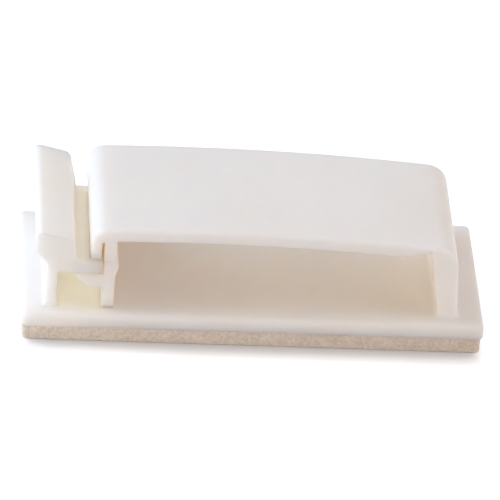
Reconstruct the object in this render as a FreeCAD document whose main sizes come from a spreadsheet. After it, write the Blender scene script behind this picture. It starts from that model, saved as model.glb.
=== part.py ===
import FreeCAD, Part
import math
import os
import Sketcher

# An adhesive cable clip: one nylon moulding with a long strap over a flat base,
# a living hinge at one end and a releasable latch at the other, on a foam pad.
# Millimetres, +Z up, +X from the latch to the hinge, origin under the middle of the pad.

SIZES = {
    # base plate and pad
    "plate_length": 40.0,
    "plate_width": 16.1,
    "plate_thick": 1.4,
    "plate_corner": 0.6,
    "plate_top_round": 0.5,
    "plate_under_round": 0.15,
    "pad_thick": 1.4,
    "pad_side_inset": 0.1,
    "pad_latch_inset": 0.1,
    "pad_hinge_inset": 0.15,
    "pad_corner": 0.5,
    # strap
    "strap_side_inset": 1.25,
    "strap_thick": 1.15,
    "strap_latch_rise": 7.9,
    "strap_hinge_rise": 6.95,
    "strap_crown": 0.53,
    "strap_latch_corner": 1.4,
    "strap_hinge_corner": 2.1,
    "strap_edge_round": 0.35,
    # living hinge and its leg
    "leg_inset": 2.25,
    "leg_foot_thick": 1.6,
    "leg_outer_lean": 0.5,
    "leg_inner_lean": 1.2,
    "hinge_run": 2.5,
    "hinge_thick": 0.45,
    "foot_round": 0.4,
    # latch wall, thumb tab and lip
    "wall_inset": 2.05,
    "wall_thick": 0.9,
    "tab_reach": 1.05,
    "tab_rise": 7.65,
    "tab_root_rise": 4.3,
    "tab_edge_drop": 2.0,
    "tab_corner": 0.45,
    "head_corner": 0.9,
    "head_rise": 6.85,
    "head_top_reach": 1.2,
    "head_under_reach": 1.55,
    "lip_root_reach": 1.85,
    "lip_root_rise": 0.2,
    "lip_top_rise": 4.8,
    "lip_thick": 1.3,
    "lip_edge_round": 0.3,
    "latch_proud": 0.12,
    # end of the strap that drops into the latch
    "latch_room": 2.75,
    "latch_gap": 0.1,
    "skin_thick": 0.9,
    "slit_width": 0.25,
    "slit_cover": 1.29,
    "stem_thick": 1.05,
    "toe_rise": 4.25,
    "toe_reach": 0.25,
    "toe_height": 0.45,
    "toe_drop": 0.9,
    "barb_catch": 2.3,
    "barb_nose": 0.2,
    "barb_slope_run": 1.2,
    "barb_slope_drop": 1.08,
    "foot_gap": 0.08,
}

doc = FreeCAD.newDocument("adhesive_cable_clip")
sheet = doc.addObject("Spreadsheet::Sheet", "Sizes")
for row, (alias, number) in enumerate(SIZES.items(), start=1):
    sheet.set("A%d" % row, alias)
    sheet.set("B%d" % row, str(number))
    sheet.setAlias("B%d" % row, alias)
doc.recompute()


class Length:
    """A length worked out from the sheet: its value now, and the expression that drives it."""

    def __init__(self, value, text):
        self.value = value
        self.text = text

    def _with(self, other, sign, value):
        text = other.text if isinstance(other, Length) else str(other)
        return Length(value, "(%s %s %s)" % (self.text, sign, text))

    def __add__(self, other):
        return self._with(other, "+", self.value + number_of(other))

    def __sub__(self, other):
        return self._with(other, "-", self.value - number_of(other))

    def __mul__(self, other):
        return self._with(other, "*", self.value * number_of(other))

    def __truediv__(self, other):
        return self._with(other, "/", self.value / number_of(other))

    def __neg__(self):
        return Length(-self.value, "(-1 * %s)" % self.text)


def number_of(length):
    return length.value if isinstance(length, Length) else float(length)


def size(alias):
    return Length(SIZES[alias], "Sizes." + alias)


def smaller_of(first, second):
    return Length(min(first.value, second.value), "min(%s; %s)" % (first.text, second.text))


# Places shared by the features

plate_end = size("plate_length") / 2
plate_top = size("pad_thick") + size("plate_thick")
root_depth = size("plate_thick") / 2
rooted = plate_top - root_depth

strap_width = size("plate_width") - size("strap_side_inset") * 2
latch_width = strap_width + size("latch_proud") * 2

wall_outer = size("wall_inset") - plate_end
wall_inner = wall_outer + size("wall_thick")
strap_latch_x = wall_inner + size("latch_room")
strap_latch_z = plate_top + size("strap_latch_rise")

leg_outer_foot = plate_end - size("leg_inset")
leg_inner_foot = leg_outer_foot - size("leg_foot_thick")
leg_outer_top = leg_outer_foot - size("leg_outer_lean")
leg_inner_top = leg_inner_foot - size("leg_inner_lean")
strap_hinge_z = plate_top + size("strap_hinge_rise")

strap_run = leg_outer_top - strap_latch_x
strap_fall = strap_latch_z - strap_hinge_z
strap_chord_squared = strap_run * strap_run + strap_fall * strap_fall
strap_radius = strap_chord_squared / (size("strap_crown") * 8) + size("strap_crown") / 2

slit_outer = strap_latch_x + size("skin_thick")
slit_inner = slit_outer + size("slit_width")
stem_inner = slit_inner + size("stem_thick")
slit_top = strap_latch_z - size("slit_cover")
lip_end = slit_inner - size("latch_gap")
lip_top = plate_top + size("lip_top_rise")
lip_under = lip_top - size("lip_thick")
skin_end = lip_top + size("latch_gap")
barb_top = lip_under - size("latch_gap")
barb_tip = lip_end - size("barb_catch")
barb_under = barb_top - size("barb_nose") - size("barb_slope_drop")


def strap_top_at(x):
    """Height of the crowned top of the strap at x, taking the shallow arc as a parabola."""
    share = (x - strap_latch_x) / strap_run
    rest = (leg_outer_top - x) / strap_run
    return strap_latch_z - strap_fall * share + size("strap_crown") * 4 * share * rest


# Sketch and feature helpers

def plane_of(body, role):
    for feature in body.Origin.OriginFeatures:
        if feature.Role == role:
            return feature
    raise ValueError("no plane " + role)


def new_sketch(body, role, name):
    sketch = body.newObject("Sketcher::SketchObject", name)
    sketch.AttachmentSupport = [(plane_of(body, role), "")]
    sketch.MapMode = "FlatFace"
    return sketch


def drive(sketch, kind, references, length):
    """Adds one dimension to a sketch and ties it to the sheet."""
    index = sketch.addConstraint(Sketcher.Constraint(kind, *references, length.value))
    sketch.setExpression("Constraints[%d]" % index, length.text)


def draw_polygon(sketch, corners):
    """Closed outline of straight sides, each corner placed from the origin."""
    points = [FreeCAD.Vector(x.value, z.value, 0) for x, z in corners]
    count = len(points)
    for index in range(count):
        sketch.addGeometry(Part.LineSegment(points[index], points[(index + 1) % count]), False)
    for index in range(count):
        sketch.addConstraint(Sketcher.Constraint("Coincident", index, 2, (index + 1) % count, 1))
    for index, (x, z) in enumerate(corners):
        drive(sketch, "DistanceX", (-1, 1, index, 1), x)
        drive(sketch, "DistanceY", (-1, 1, index, 1), z)


def pad_both_ways(body, sketch, name, depth):
    pad = body.newObject("PartDesign::Pad", name)
    pad.Profile = sketch
    pad.Midplane = True
    pad.setExpression("Length", depth.text)
    doc.recompute()
    return pad


def round_edges(body, name, radius, chosen):
    """Fillet on every edge of the body so far that the given test picks."""
    base = body.Tip
    names = [
        "Edge%d" % number
        for number, edge in enumerate(base.Shape.Edges, start=1)
        if chosen(edge)
    ]
    fillet = body.newObject("PartDesign::Fillet", name)
    fillet.Base = (base, names)
    fillet.setExpression("Radius", radius.text)
    doc.recompute()
    return fillet


def near(first, second):
    return abs(first - second) < 1e-3


def is_cross_edge(edge, x, z):
    """True for an edge that runs across the clip, along Y, through the given place."""
    ends = [vertex.Point for vertex in edge.Vertexes]
    return len(ends) == 2 and all(near(end.x, x.value) and near(end.z, z.value) for end in ends)


def middle_of(edge):
    return edge.valueAt((edge.FirstParameter + edge.LastParameter) / 2)


# Foam pad

def draw_rounded_plan(sketch, west, east, half_width, corner):
    """Rectangle with rounded corners, from west to east and both ways of the X axis."""
    turn = corner.value
    left, right, side = west.value, east.value, half_width.value
    quarter = math.pi / 2
    z_axis = FreeCAD.Vector(0, 0, 1)
    centres = [(right - turn, turn - side), (right - turn, side - turn),
               (left + turn, side - turn), (left + turn, turn - side)]
    sides = [((left + turn, -side), (right - turn, -side)), ((right, turn - side), (right, side - turn)),
             ((right - turn, side), (left + turn, side)), ((left, side - turn), (left, turn - side))]
    for start, end in sides:
        sketch.addGeometry(Part.LineSegment(FreeCAD.Vector(*start, 0), FreeCAD.Vector(*end, 0)), False)
    for step, centre in enumerate(centres):
        circle = Part.Circle(FreeCAD.Vector(*centre, 0), z_axis, turn)
        arc = Part.ArcOfCircle(circle, (step - 1) * quarter, step * quarter)
        sketch.addGeometry(arc, False)
    for step in range(4):
        arc = 4 + step
        sketch.addConstraint(Sketcher.Constraint("Tangent", step, 2, arc, 1))
        sketch.addConstraint(Sketcher.Constraint("Tangent", arc, 2, (step + 1) % 4, 1))
    sketch.addConstraint(Sketcher.Constraint("Horizontal", 0))
    sketch.addConstraint(Sketcher.Constraint("Vertical", 1))
    sketch.addConstraint(Sketcher.Constraint("Horizontal", 2))
    sketch.addConstraint(Sketcher.Constraint("Vertical", 3))
    for arc in (5, 6, 7):
        sketch.addConstraint(Sketcher.Constraint("Equal", 4, arc))
    drive(sketch, "Radius", (4,), corner)
    drive(sketch, "DistanceX", (-1, 1, 1, 1), east)
    drive(sketch, "DistanceX", (-1, 1, 3, 1), west)
    drive(sketch, "DistanceY", (-1, 1, 2, 1), half_width)
    drive(sketch, "DistanceY", (-1, 1, 0, 1), -half_width)


foam_pad = doc.addObject("PartDesign::Body", "foam_pad")
foam_pad.Label = "foam_pad"
foam_plan = new_sketch(foam_pad, "XY_Plane", "foam_plan")
draw_rounded_plan(
    foam_plan,
    size("pad_latch_inset") - plate_end,
    plate_end - size("pad_hinge_inset"),
    size("plate_width") / 2 - size("pad_side_inset"),
    size("pad_corner"),
)
foam_block = foam_pad.newObject("PartDesign::Pad", "foam_block")
foam_block.Profile = foam_plan
foam_block.setExpression("Length", size("pad_thick").text)
doc.recompute()

# Clip body

clip_body = doc.addObject("PartDesign::Body", "clip_body")
clip_body.Label = "clip_body"

# Clip body: strap, hinge and leg in one side outline

hinge_under_z = strap_top_at(leg_inner_top) - size("hinge_thick")
hinge_start_x = leg_inner_top - size("hinge_run")
toe_z = plate_top + size("toe_rise")

strap_side = new_sketch(clip_body, "XZ_Plane", "strap_side")


def flat_point(x, z):
    return FreeCAD.Vector(x.value, z.value, 0)


def arc_below_chord(start, end, radius):
    """Shallow arc from start round to end, and its centre, with the centre to the left of the way."""
    chord = end - start
    inward = FreeCAD.Vector(-chord.y, chord.x, 0).normalize()
    depth = (radius ** 2 - (chord.Length / 2) ** 2) ** 0.5
    middle = (start + end) * 0.5
    centre = middle + inward * depth
    return Part.Arc(start, middle - inward * (radius - depth), end), centre


def tangent_corner(foot, top, inward_turn, centre, large, small):
    """Places where a small corner arc leaves the side foot-top and joins the large circle, and its crest."""
    along = (top - foot).normalize()
    inward = FreeCAD.Vector(-along.y, along.x, 0) * inward_turn
    shifted = foot + inward * small
    spoke = shifted - centre
    reach = spoke.dot(along)
    excess = spoke.dot(spoke) - (large - small) ** 2
    heart = shifted + along * ((reach ** 2 - excess) ** 0.5 - reach)
    on_side = heart - inward * small
    on_top = centre + (heart - centre) * (large / (large - small))
    outward = (on_side - heart + on_top - heart).normalize()
    return on_side, heart + outward * small, on_top


def line(start, end):
    strap_side.addGeometry(Part.LineSegment(start, end), False)


leg_foot = flat_point(leg_outer_foot, rooted)
leg_peak = flat_point(leg_outer_top, strap_hinge_z)
latch_peak = flat_point(strap_latch_x, strap_latch_z)
skin_foot = flat_point(strap_latch_x, skin_end)
top_way, crown_centre = arc_below_chord(leg_peak, latch_peak, strap_radius.value)
hinge_corner = tangent_corner(
    leg_foot, leg_peak, 1, crown_centre, strap_radius.value, SIZES["strap_hinge_corner"])
latch_corner = tangent_corner(
    skin_foot, latch_peak, -1, crown_centre, strap_radius.value, SIZES["strap_latch_corner"])

# Outer run: up the leg, round the hinge corner, over the crown, round the latch corner and down the skin
line(leg_foot, hinge_corner[0])
strap_side.addGeometry(Part.Arc(*hinge_corner), False)
crown_crest = crown_centre + FreeCAD.Vector(0, strap_radius.value, 0)
strap_side.addGeometry(Part.Arc(hinge_corner[2], crown_crest, latch_corner[2]), False)
strap_side.addGeometry(Part.Arc(*reversed(latch_corner)), False)
line(latch_corner[0], skin_foot)
for first, second in ((0, 1), (1, 2), (2, 3), (3, 4)):
    strap_side.addConstraint(Sketcher.Constraint("Tangent", first, 2, second, 1))

# Inner run: the foot of the skin, the slit, the stem, the underside, the hinge and the leg
under_at_stem = (stem_inner, strap_top_at(stem_inner) - size("strap_thick"))
under_at_hinge = (hinge_start_x, strap_top_at(hinge_start_x) - size("strap_thick"))
inner_corners = [
    (strap_latch_x, skin_end),
    (slit_outer, skin_end),
    (slit_outer, slit_top),
    (slit_inner, slit_top),
    (slit_inner, toe_z),
    (stem_inner, toe_z),
    under_at_stem,
    under_at_hinge,
    (leg_inner_top, hinge_under_z),
    (leg_inner_foot, rooted),
    (leg_outer_foot, rooted),
]
first_inner = strap_side.GeometryCount
under_step = inner_corners.index(under_at_stem)
inner_points = [flat_point(x, z) for x, z in inner_corners]
for step in range(len(inner_points) - 1):
    if step == under_step:
        under_radius = strap_radius.value - SIZES["strap_thick"]
        under_way, under_centre = arc_below_chord(inner_points[step + 1], inner_points[step], under_radius)
        strap_side.addGeometry(under_way, False)
    else:
        line(inner_points[step], inner_points[step + 1])
under_arc = first_inner + under_step
last_side = strap_side.GeometryCount - 1


def start_of(side):
    return 2 if side == under_arc else 1


def end_of(side):
    return 1 if side == under_arc else 2


for side in range(first_inner - 1, last_side):
    strap_side.addConstraint(
        Sketcher.Constraint("Coincident", side, end_of(side), side + 1, start_of(side + 1)))
strap_side.addConstraint(Sketcher.Constraint("Coincident", last_side, 2, 0, 1))
for step, (x, z) in enumerate(inner_corners[:-1]):
    side = first_inner + step
    drive(strap_side, "DistanceX", (-1, 1, side, start_of(side)), x)
    if inner_corners[step] not in (under_at_stem, under_at_hinge):
        drive(strap_side, "DistanceY", (-1, 1, side, start_of(side)), z)
drive(strap_side, "DistanceX", (-1, 1, 0, 1), leg_outer_foot)
drive(strap_side, "DistanceY", (-1, 1, 0, 1), rooted)
strap_side.addConstraint(Sketcher.Constraint("Vertical", 4))

# The two sharp peaks are where the straight sides would meet the crown
for x, z, side in ((leg_outer_top, strap_hinge_z, 0), (strap_latch_x, strap_latch_z, 4)):
    peak = strap_side.addGeometry(Part.Point(flat_point(x, z)), True)
    drive(strap_side, "DistanceX", (-1, 1, peak, 1), x)
    drive(strap_side, "DistanceY", (-1, 1, peak, 1), z)
    strap_side.addConstraint(Sketcher.Constraint("PointOnObject", peak, 1, 2))
    if side == 0:
        strap_side.addConstraint(Sketcher.Constraint("PointOnObject", peak, 1, side))
drive(strap_side, "Radius", (1,), size("strap_hinge_corner"))
drive(strap_side, "Radius", (2,), strap_radius)
drive(strap_side, "Radius", (3,), size("strap_latch_corner"))
drive(strap_side, "Radius", (under_arc,), strap_radius - size("strap_thick"))
strap_side.addConstraint(Sketcher.Constraint("Coincident", 2, 3, under_arc, 3))
doc.recompute()
pad_both_ways(clip_body, strap_side, "strap", strap_width)


outer_run = [strap_side.Geometry[side].toShape() for side in range(first_inner)]


def is_strap_rim(edge):
    """True for the front and rear edges of the strap's outer run."""
    middle = middle_of(edge)
    if not near(abs(middle.y), strap_width.value / 2):
        return False
    place = Part.Vertex(FreeCAD.Vector(middle.x, middle.z, 0))
    return any(near(place.distToShape(stretch)[0], 0) for stretch in outer_run)


# The rim stays inside the thin hinge that it runs past
rim_share_of_hinge = 0.8
rim_round = smaller_of(size("strap_edge_round"), size("hinge_thick") * rim_share_of_hinge)
round_edges(clip_body, "strap_rim", rim_round, is_strap_rim)

# Clip body: the end of the strap that drops into the latch

barb_heel = barb_tip + size("barb_slope_run")
stem_foot = plate_top + size("foot_gap")
shoulder = toe_z + size("toe_height")
stem_side = new_sketch(clip_body, "XZ_Plane", "stem_side")
draw_polygon(stem_side, [
    (slit_inner, shoulder),
    (slit_inner, stem_foot),
    (stem_inner, stem_foot),
    (stem_inner, toe_z - size("toe_drop")),
    (stem_inner + size("toe_reach"), toe_z),
    (stem_inner, shoulder),
])
pad_both_ways(clip_body, stem_side, "stem", latch_width)
barb_side = new_sketch(clip_body, "XZ_Plane", "barb_side")
stem_core = slit_inner + size("stem_thick") / 2
draw_polygon(barb_side, [
    (stem_core, barb_top),
    (barb_tip, barb_top),
    (barb_tip, barb_top - size("barb_nose")),
    (barb_heel, barb_under),
    (stem_core, barb_under),
])
pad_both_ways(clip_body, barb_side, "barb", latch_width)

# Clip body: base plate

plate_plan = new_sketch(clip_body, "XY_Plane", "plate_plan")
plate_plan.setExpression("AttachmentOffset.Base.z", size("pad_thick").text)
draw_rounded_plan(plate_plan, -plate_end, plate_end, size("plate_width") / 2, size("plate_corner"))
plate = clip_body.newObject("PartDesign::Pad", "plate")
plate.Profile = plate_plan
plate.setExpression("Length", size("plate_thick").text)
doc.recompute()

round_edges(
    clip_body, "plate_top_edge", size("plate_top_round"),
    lambda edge: all(near(vertex.Z, plate_top.value) for vertex in edge.Vertexes),
)
round_edges(
    clip_body, "plate_under_edge", size("plate_under_round"),
    lambda edge: all(near(vertex.Z, size("pad_thick").value) for vertex in edge.Vertexes),
)

# Clip body: latch wall with its thumb tab

tab_tip = wall_outer - size("tab_reach")
head_top = plate_top + size("head_rise")
head_under = lip_top + size("lip_root_rise")
latch_side = new_sketch(clip_body, "XZ_Plane", "latch_side")
draw_polygon(latch_side, [
    (wall_outer, rooted),
    (wall_inner, rooted),
    (wall_inner, head_under),
    (wall_inner + size("head_under_reach"), head_under),
    (wall_inner + size("head_top_reach"), head_top),
    (tab_tip, plate_top + size("tab_rise")),
    (tab_tip, plate_top + size("tab_rise") - size("tab_edge_drop")),
    (wall_outer, plate_top + size("tab_root_rise")),
])
pad_both_ways(clip_body, latch_side, "latch_wall_and_tab", latch_width)
round_edges(
    clip_body, "tab_corner", size("tab_corner"),
    lambda edge: is_cross_edge(edge, tab_tip, plate_top + size("tab_rise")),
)
round_edges(
    clip_body, "head_corner", size("head_corner"),
    lambda edge: is_cross_edge(edge, wall_inner + size("head_top_reach"), head_top),
)

# The lip that the barb catches under
lip_side = new_sketch(clip_body, "XZ_Plane", "lip_side")
lip_root = wall_outer + size("wall_thick") / 2
draw_polygon(lip_side, [
    (lip_root, lip_under),
    (lip_end, lip_under),
    (lip_end, lip_top),
    (wall_inner + size("lip_root_reach"), lip_top),
    (wall_inner + size("head_under_reach"), head_under),
    (lip_root, head_under),
])
pad_both_ways(clip_body, lip_side, "lip", latch_width)


def is_lip_rim(edge):
    """True for the front and rear edges of the top of the lip."""
    ends = [vertex.Point for vertex in edge.Vertexes]
    if len(ends) != 2 or not near(ends[0].y, ends[1].y):
        return False
    return all(near(end.z, lip_top.value) and near(abs(end.y), latch_width.value / 2) for end in ends)


round_edges(clip_body, "lip_rim", size("lip_edge_round"), is_lip_rim)

# Soft feet where the hinge leg and the latch wall stand on the plate


def is_foot(edge):
    """True for the cross edges where an upright leaves the top of the plate."""
    ends = [vertex.Point for vertex in edge.Vertexes]
    if len(ends) != 2 or not all(near(end.z, plate_top.value) for end in ends):
        return False
    inside = all(abs(end.y) < latch_width.value / 2 + 1e-3 for end in ends)
    across = near(ends[0].x, ends[1].x)
    return inside and across


round_edges(clip_body, "feet", size("foot_round"), is_foot)

# Checks and export

def check(obj):
    bad = [state for state in obj.State if state in ("Invalid", "Error")]
    if bad:
        raise RuntimeError("%s is %s" % (obj.Name, bad))


doc.recompute()
for obj in doc.Objects:
    check(obj)
os.makedirs("parts", exist_ok=True)
for node in (clip_body, foam_pad):
    if node.Shape.isNull() or not node.Shape.isValid():
        raise RuntimeError("%s has no valid shape" % node.Label)
    node.Shape.exportStep("parts/%s.step" % node.Label)
    box = node.Shape.BoundBox
    print(node.Label, len(node.Shape.Solids), "solid", round(node.Shape.Volume, 2), "mm3",
          [round(v, 2) for v in (box.XMin, box.XMax, box.YMin, box.YMax, box.ZMin, box.ZMax)])
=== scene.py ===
import math

import bmesh
import bpy
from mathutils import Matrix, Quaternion, Vector, noise


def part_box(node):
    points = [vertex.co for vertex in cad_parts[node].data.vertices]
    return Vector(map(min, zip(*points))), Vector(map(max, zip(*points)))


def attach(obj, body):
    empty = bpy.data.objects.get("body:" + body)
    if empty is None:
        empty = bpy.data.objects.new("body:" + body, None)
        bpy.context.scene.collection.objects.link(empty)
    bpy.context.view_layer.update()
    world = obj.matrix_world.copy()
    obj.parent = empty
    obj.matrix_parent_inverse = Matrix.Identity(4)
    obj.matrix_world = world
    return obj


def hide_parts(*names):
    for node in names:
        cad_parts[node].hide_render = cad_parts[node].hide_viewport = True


# An adhesive cable clip: a natural nylon moulding on a speckled foam pad, latched shut,
# on a white table in cool soft light from the left and warmer light from the front and the
# right. Lengths are in metres.

MM = 0.001
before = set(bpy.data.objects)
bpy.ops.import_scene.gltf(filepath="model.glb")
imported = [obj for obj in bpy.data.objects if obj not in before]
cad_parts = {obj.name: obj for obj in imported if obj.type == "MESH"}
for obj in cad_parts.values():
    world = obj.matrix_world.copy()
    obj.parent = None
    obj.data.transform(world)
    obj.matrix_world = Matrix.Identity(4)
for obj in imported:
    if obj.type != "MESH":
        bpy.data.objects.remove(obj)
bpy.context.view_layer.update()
clip_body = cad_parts["clip_body"]


# Helpers for shapes

WELD = 1e-7
SAME_WAY = 0.99


def mesh_of(form, name):
    """The finished mesh of a form, which is let go."""
    mesh = bpy.data.meshes.new(name)
    form.to_mesh(mesh)
    form.free()
    return mesh


def put_in_scene(name, data):
    item = bpy.data.objects.new(name, data)
    bpy.context.scene.collection.objects.link(item)
    return item


def is_along(edge, axis):
    way = edge.verts[1].co - edge.verts[0].co
    return abs(way[axis]) > SAME_WAY * way.length


def direction_of(azimuth, elevation):
    """Unit vector out to one side of the clip: azimuth 0 is its front, 90 its right."""
    turn, rise = math.radians(azimuth), math.radians(elevation)
    return Vector((
        math.sin(turn) * math.cos(rise),
        -math.cos(turn) * math.cos(rise),
        math.sin(rise),
    ))


def facing(back):
    """Turn of a lamp or camera that stands off along a direction and looks back along it."""
    return (-back).to_track_quat("-Z", "Y")


# Helpers for materials

WHITE = (1, 1, 1, 1)
NOISE_BAND = (0.3, 0.7)
LAYER_WEIGHT = 0.5


def new_material(name):
    """An empty node material with its tree and output, ready to be wired."""
    material = bpy.data.materials.new(name)
    material.use_nodes = True
    tree = material.node_tree
    tree.nodes.clear()
    output = tree.nodes.new("ShaderNodeOutputMaterial")
    return material, tree, output


def add_node(tree, kind, inputs=None, **settings):
    """A node with its settings, and with values or links on the inputs that are named."""
    node = tree.nodes.new(kind)
    for key, value in settings.items():
        setattr(node, key, value)
    for key, value in (inputs or {}).items():
        if isinstance(value, bpy.types.NodeSocket):
            tree.links.new(value, node.inputs[key])
        else:
            node.inputs[key].default_value = value
    return node


def object_place(tree):
    return add_node(tree, "ShaderNodeTexCoord").outputs["Object"]


def along_x(tree, place):
    return add_node(tree, "ShaderNodeSeparateXYZ", {"Vector": place}).outputs["X"]


def noise_of(tree, place, size, layers):
    """Noise whose features are about one size long, with finer layers over them."""
    node = add_node(
        tree, "ShaderNodeTexNoise",
        {"Vector": place, "Scale": 1 / size, "Detail": layers, "Roughness": LAYER_WEIGHT},
    )
    return node.outputs["Fac"]


def spread(tree, value, low, high, least, most):
    """Number that goes from least to most as a value goes from low to high."""
    node = add_node(
        tree, "ShaderNodeMapRange",
        {"Value": value, "From Min": low, "From Max": high, "To Min": least, "To Max": most},
    )
    return node.outputs["Result"]


def blend(tree, share, first, second):
    """Colour between two, by the share of the second."""
    node = add_node(
        tree, "ShaderNodeMix", {"Factor": share, "A": first, "B": second}, data_type="RGBA")
    return node.outputs["Result"]


def ramp(tree, value, low, high, dark, light):
    """Colour that goes from dark to light as a value goes from low to high."""
    share = spread(tree, value, low, high, 0.0, 1.0)
    return blend(tree, share, (*dark, 1), (*light, 1))


def reckon(tree, operation, *values):
    """Number worked out from others, such as the larger of two."""
    node = add_node(tree, "ShaderNodeMath", dict(enumerate(values)), operation=operation)
    return node.outputs["Value"]


def raised(tree, height, depth, strength, under=None):
    """Surface direction over bumps of some depth, which may lie on another one."""
    inputs = {"Strength": strength, "Distance": depth, "Height": height}
    if under:
        inputs["Normal"] = under
    return add_node(tree, "ShaderNodeBump", inputs).outputs["Normal"]


# Nylon: a milky moulding that light soaks into, with a fine matt grain from the mould.
# Its walls pass some of a lamp's light, yellowed, to the faces behind them: much at the
# thin latch wall and less from there to the stem, between two places along X. A noise is
# given by its size and layers, and a soak by its depth in mm for red, green and blue.

NYLON_TONES = (0.875, 0.87, 0.86), (0.905, 0.90, 0.89)
NYLON_ROUGHNESS = (0.38, 0.5)
NYLON_IOR = 1.53
NYLON_SOAK = (2.4, 2.0, 1.6)
CLOUD, CLOUD_BAND = (9 * MM, 2.0), (0.35, 0.65)
POLISH = (4 * MM, 4.0)
SINK, SINK_DEPTH, SINK_STRENGTH = (6 * MM, 1.0), 0.03 * MM, 1.0
GRAIN, GRAIN_DEPTH, GRAIN_STRENGTH = (0.18 * MM, 3.0), 0.006 * MM, 0.35
EDGE_ROUND, EDGE_SAMPLES = 0.28 * MM, 8
WALL_STRETCH = (-17.0 * MM, -13.2 * MM)
THIN_WALL = (0.95, 0.88, 0.70)
THICK_WALL = (0.60, 0.45, 0.24)


def make_nylon():
    material, tree, output = new_material("natural_nylon")
    place = object_place(tree)
    cloud = noise_of(tree, place, *CLOUD)
    colour = ramp(tree, cloud, *CLOUD_BAND, *NYLON_TONES)
    polish = noise_of(tree, place, *POLISH)
    roughness = spread(tree, polish, *NOISE_BAND, *NYLON_ROUGHNESS)
    edge = add_node(tree, "ShaderNodeBevel", {"Radius": EDGE_ROUND}, samples=EDGE_SAMPLES)
    sink = noise_of(tree, place, *SINK)
    grain = noise_of(tree, place, *GRAIN)
    waves = raised(tree, sink, SINK_DEPTH, SINK_STRENGTH, under=edge.outputs["Normal"])
    skin = raised(tree, grain, GRAIN_DEPTH, GRAIN_STRENGTH, under=waves)
    shader = add_node(
        tree, "ShaderNodeBsdfPrincipled",
        {"Base Color": colour, "Roughness": roughness, "Normal": skin, "IOR": NYLON_IOR,
         "Subsurface Weight": 1.0, "Subsurface Scale": MM, "Subsurface Radius": NYLON_SOAK},
    )
    tint = ramp(tree, along_x(tree, place), *WALL_STRETCH, THIN_WALL, THICK_WALL)
    passed = add_node(tree, "ShaderNodeBsdfTransparent", {"Color": tint})
    rays = add_node(tree, "ShaderNodeLightPath")
    milky = add_node(
        tree, "ShaderNodeMixShader",
        {0: rays.outputs["Is Shadow Ray"], 1: shader.outputs["BSDF"], 2: passed.outputs["BSDF"]},
    )
    tree.links.new(milky.outputs["Shader"], output.inputs["Surface"])
    return material


# Foam: beige, with pale and dark cells cut open along its edge

CELL_TONES = (0.56, 0.48, 0.40), (0.90, 0.84, 0.77)
WASH_TONES = (0.72, 0.64, 0.56), (0.80, 0.73, 0.66)
WASH_SHARE = 0.55
SPECKLE_SIZE, SPECKLE_DEPTH, SPECKLE_STRENGTH = 0.22 * MM, 0.04 * MM, 0.6
BLOTCH = (1.5 * MM, 3.0)
FOAM_ROUGHNESS = 0.85
FOAM_SOAK_WEIGHT, FOAM_SOAK = 0.3, (0.5, 0.35, 0.25)


def make_foam():
    material, tree, output = new_material("speckled_foam")
    place = object_place(tree)
    cells = add_node(tree, "ShaderNodeTexVoronoi", {"Vector": place, "Scale": 1 / SPECKLE_SIZE})
    cell_tone = add_node(tree, "ShaderNodeSeparateColor", {"Color": cells.outputs["Color"]})
    tone = ramp(tree, cell_tone.outputs["Red"], 0.0, 1.0, *CELL_TONES)
    wash = ramp(tree, noise_of(tree, place, *BLOTCH), *NOISE_BAND, *WASH_TONES)
    pits = raised(tree, cells.outputs["Distance"], SPECKLE_DEPTH, SPECKLE_STRENGTH)
    shader = add_node(
        tree, "ShaderNodeBsdfPrincipled",
        {"Base Color": blend(tree, WASH_SHARE, tone, wash), "Roughness": FOAM_ROUGHNESS,
         "Normal": pits, "Subsurface Weight": FOAM_SOAK_WEIGHT, "Subsurface Scale": MM,
         "Subsurface Radius": FOAM_SOAK},
    )
    tree.links.new(shader.outputs["BSDF"], output.inputs["Surface"])
    return material


nylon = make_nylon()
foam = make_foam()


# Moulding: the CAD solid, with its latch lip cut short at the rear. The notch is given by its
# corners seen from above, in mm, each with the height it reaches between tab and strap.

NOTCH_FLOOR = 6.25
NOTCH_CORNERS = (
    (-15.25, 3.9, 7.86),
    (-13.2, 3.9, 7.62),
    (-13.2, 7.2, 7.62),
    (-15.5, 7.2, 7.86),
)
SHARP_ANGLE = math.radians(25)


def make_notch():
    """The block that is cut out of the lip."""
    form = bmesh.new()
    for x, y, top in NOTCH_CORNERS:
        for z in (NOTCH_FLOOR, top):
            form.verts.new(Vector((x, y, z)) * MM)
    bmesh.ops.convex_hull(form, input=form.verts)
    bmesh.ops.recalc_face_normals(form, faces=form.faces)
    return put_in_scene("lip_notch", mesh_of(form, "lip_notch"))


def make_moulding():
    form = bmesh.new()
    form.from_mesh(clip_body.data)
    bmesh.ops.remove_doubles(form, verts=form.verts, dist=WELD)
    moulding = put_in_scene("clip_moulding", mesh_of(form, "moulding_solid"))
    block = make_notch()
    notch = moulding.modifiers.new("lip_notch", "BOOLEAN")
    notch.operation = "DIFFERENCE"
    notch.solver = "EXACT"
    notch.object = block
    settled = moulding.evaluated_get(bpy.context.evaluated_depsgraph_get())
    cut = bpy.data.meshes.new_from_object(settled)
    moulding.modifiers.clear()
    moulding.data = cut
    bpy.data.objects.remove(block)
    cut.shade_smooth()
    cut.set_sharp_from_angle(angle=SHARP_ANGLE)
    cut.materials.clear()
    cut.materials.append(nylon)
    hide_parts("clip_body")
    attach(moulding, "root")


make_moulding()


# Foam pad: a knife-cut slab whose edge is rough with open cells. The edge's mesh is in steps
# shorter than a cell, and the crumple is longer and shallower than the cells' pits. Only
# edges longer than a share of a whole side are divided, and only points that face outwards
# by more than a least lean are sunk.

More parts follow.
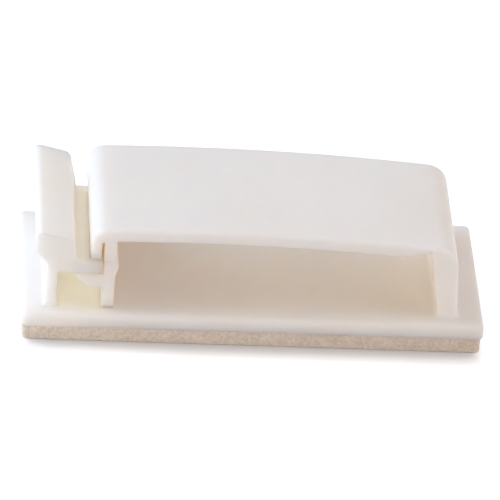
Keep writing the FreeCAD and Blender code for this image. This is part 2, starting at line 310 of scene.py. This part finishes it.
PAD_CORNER, PAD_CORNER_STEPS = 0.5 * MM, 5
PAD_ROUND, PAD_ROUND_STEPS = 0.12 * MM, 2
EDGE_STEP = 0.09 * MM
CELL_SIZE, PIT_DEPTH, PIT_REACH = 0.26 * MM, 0.05 * MM, 0.75
CRUMPLE_SIZE, CRUMPLE_DEPTH = 1.4 * MM, 0.02 * MM
SIDE_SHARE = 0.6
LEAST_LEAN = 0.3


def bevel_edges(form, edges, offset, steps):
    bmesh.ops.bevel(
        form, geom=edges, offset=offset, segments=steps, profile=0.5, affect="EDGES", material=-1)


def make_slab(low, high):
    """A slab with rounded corners and bottom edge, in a grid fine enough for its cells."""
    form = bmesh.new()
    bmesh.ops.create_cube(form, size=1.0)
    bmesh.ops.scale(form, vec=high - low, verts=form.verts)
    bmesh.ops.translate(form, vec=(low + high) / 2, verts=form.verts)
    uprights = [edge for edge in form.edges if is_along(edge, 2)]
    bevel_edges(form, uprights, PAD_CORNER, PAD_CORNER_STEPS)
    rims = [
        edge for edge in form.edges
        if max(vert.co.z for vert in edge.verts) < low.z + PAD_ROUND
    ]
    bevel_edges(form, rims, PAD_ROUND, PAD_ROUND_STEPS)
    for axis in (0, 1, 2):
        span = high[axis] - low[axis] - 2 * PAD_ROUND
        sides = [
            edge for edge in form.edges
            if is_along(edge, axis) and edge.calc_length() > SIDE_SHARE * span
        ]
        bmesh.ops.subdivide_edges(
            form, edges=sides, cuts=int(span / EDGE_STEP), use_grid_fill=True)
    form.normal_update()
    return form


def open_cells(form, high):
    """Sinks the slab's edge into pits and crumples, but not its top rim under the plate."""
    for vert in form.verts:
        outward = Vector((vert.normal.x, vert.normal.y, 0))
        if outward.length < LEAST_LEAN or vert.co.z > high.z - EDGE_STEP / 2:
            continue
        nearest_cell = noise.voronoi(vert.co / CELL_SIZE)[0][0]
        crumple = 1 + noise.noise(vert.co / CRUMPLE_SIZE)
        depth = PIT_DEPTH * max(0.0, PIT_REACH - nearest_cell) + CRUMPLE_DEPTH * crumple
        vert.co -= outward.normalized() * depth


def make_foam_pad():
    low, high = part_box("foam_pad")
    form = make_slab(low, high)
    open_cells(form, high)
    for level in (low.z, high.z):
        flat = [
            face for face in form.faces
            if all(abs(vert.co.z - level) < WELD for vert in face.verts)
        ]
        bmesh.ops.dissolve_faces(form, faces=flat)
    bmesh.ops.recalc_face_normals(form, faces=form.faces)
    mesh = mesh_of(form, "foam_slab")
    mesh.materials.append(foam)
    pad = put_in_scene("foam_pad_cut", mesh)
    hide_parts("foam_pad")
    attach(pad, "root")


make_foam_pad()


# Table: lifted to white for the camera, but less so close to the foam. This paints a contact shade
# along the clip, on top of the shadow the lamps cast.
# Towards both of the clip's ends that painted shade fades out.

TABLE_HALF = 1.5
TABLE_LIFT = 0.62
PAPER = (0.82, 0.845, 0.87, 1)
# Reach and band of the painted contact shade, and the span along X over which it fades out past
# the clip's ends
CONTACT_REACH, CONTACT_SAMPLES = 3.0 * MM, 16
PAINTED_SHADE_BAND = (0.65, 1.0)
PAINTED_SHADE_ENDS = (17.0 * MM, 20.2 * MM)


def seen_directly(tree):
    """One for rays that show a thing to the camera, straight or by gloss or glass, else nought."""
    rays = add_node(tree, "ShaderNodeLightPath").outputs
    shine = reckon(tree, "MAXIMUM", rays["Is Glossy Ray"], rays["Is Transmission Ray"])
    return reckon(tree, "MAXIMUM", rays["Is Camera Ray"], shine)


def make_table():
    material, tree, output = new_material("white_table")
    # Painted contact shade: the lift to white is held back where ambient occlusion finds the foam
    # close, and is let go past the clip's two ends along X
    off_middle = reckon(tree, "ABSOLUTE", along_x(tree, object_place(tree)))
    past_ends = spread(tree, off_middle, *PAINTED_SHADE_ENDS, 0.0, 1.0)
    openness = add_node(
        tree, "ShaderNodeAmbientOcclusion", {"Distance": CONTACT_REACH}, samples=CONTACT_SAMPLES)
    clear = reckon(tree, "MAXIMUM", openness.outputs["AO"], past_ends)
    lifted = spread(tree, clear, *PAINTED_SHADE_BAND, 0.0, TABLE_LIFT)
    strength = reckon(tree, "MULTIPLY", seen_directly(tree), lifted)
    paper = add_node(tree, "ShaderNodeBsdfDiffuse", {"Color": PAPER})
    lift = add_node(tree, "ShaderNodeEmission", {"Color": WHITE, "Strength": strength})
    both = add_node(
        tree, "ShaderNodeAddShader", {0: paper.outputs["BSDF"], 1: lift.outputs["Emission"]})
    tree.links.new(both.outputs["Shader"], output.inputs["Surface"])
    form = bmesh.new()
    bmesh.ops.create_grid(form, x_segments=1, y_segments=1, size=TABLE_HALF)
    mesh = mesh_of(form, "table_top")
    mesh.materials.append(material)
    table = put_in_scene("table", mesh)


make_table()


# World: white to the camera, a soft even fill for everything else

FILL = (1.0, 0.80, 0.62, 1)
FILL_STRENGTH = 0.22


def make_world():
    world = bpy.data.worlds.new("studio")
    bpy.context.scene.world = world
    world.use_nodes = True
    tree = world.node_tree
    tree.nodes.clear()
    output = tree.nodes.new("ShaderNodeOutputWorld")
    fill = add_node(tree, "ShaderNodeBackground", {"Color": FILL, "Strength": FILL_STRENGTH})
    white = add_node(tree, "ShaderNodeBackground", {"Color": WHITE, "Strength": 1.0})
    choice = add_node(
        tree, "ShaderNodeMixShader",
        {0: seen_directly(tree), 1: fill.outputs["Background"], 2: white.outputs["Background"]},
    )
    tree.links.new(choice.outputs["Shader"], output.inputs["Surface"])


make_world()


# Lamps: large soft boxes aimed at the clip, and a small one close to the front of its latch.
# Each row has a name, an aim, the azimuth and elevation it stands at in degrees, its
# distance and width, its power in watts and its colour.

CLIP_MIDDLE = Vector((0, 0, 0))
LATCH_FRONT = Vector((-19.0, -7.0, 4.0)) * MM
LAMPS = (
    ("left_low", CLIP_MIDDLE, -90, 15, 0.6, 0.3, 0.86, (0.88, 0.92, 1.0)),
    ("left_high", CLIP_MIDDLE, -100, 40, 0.6, 0.3, 1.6, (0.82, 0.90, 1.0)),
    ("rear_left", CLIP_MIDDLE, -125, 30, 0.6, 0.3, 0.75, (0.60, 0.79, 1.0)),
    ("latch_near", LATCH_FRONT, -20, 8, 0.05, 0.03, 0.0025, (0.90, 0.95, 1.0)),
    ("front_low", CLIP_MIDDLE, -28, 6, 0.7, 0.5, 1.3, (1.0, 0.84, 0.72)),
    ("right_low", CLIP_MIDDLE, 60, 6, 0.7, 0.5, 0.85, (1.0, 0.83, 0.68)),
    ("right_high", CLIP_MIDDLE, 85, 40, 0.6, 0.4, 1.26, (1.0, 0.95, 0.98)),
)


def soft_box(name, aim, azimuth, elevation, distance, width, power, colour):
    """Square lamp that looks at its aim and that the camera doesn't see."""
    lamp = bpy.data.lights.new(name, "AREA")
    lamp.shape = "SQUARE"
    lamp.size = width
    lamp.energy = power
    lamp.color = colour
    box = put_in_scene(name, lamp)
    back = direction_of(azimuth, elevation)
    box.location = aim + back * distance
    box.visible_camera = False
    box.rotation_mode = "QUATERNION"
    box.rotation_quaternion = facing(back)


for lamp_row in LAMPS:
    soft_box(*lamp_row)


# Camera: far off with a long lens, a little to the left and well above, and rolled so that
# the clip slopes down to the right

CAMERA_AZIMUTH, CAMERA_ELEVATION, CAMERA_ROLL = -5.62, 33.9, 5.07
CAMERA_DISTANCE = 481.59 * MM
CAMERA_AIM = Vector((0.0, 0.85, 4.06)) * MM
SENSOR_WIDTH, LENS = 36.0, 397.6
NEAREST_SEEN, FARTHEST_SEEN = 0.05, 10.0


def make_camera():
    camera = bpy.data.cameras.new("camera")
    camera.sensor_width = SENSOR_WIDTH
    camera.lens = LENS
    camera.clip_start, camera.clip_end = NEAREST_SEEN, FARTHEST_SEEN
    holder = put_in_scene("camera", camera)
    back = direction_of(CAMERA_AZIMUTH, CAMERA_ELEVATION)
    roll = Quaternion((0, 0, 1), math.radians(CAMERA_ROLL))
    holder.location = CAMERA_AIM + back * CAMERA_DISTANCE
    holder.rotation_mode = "QUATERNION"
    holder.rotation_quaternion = facing(back) @ roll
    bpy.context.scene.camera = holder


make_camera()
bpy.context.scene.view_settings.view_transform = "Standard"
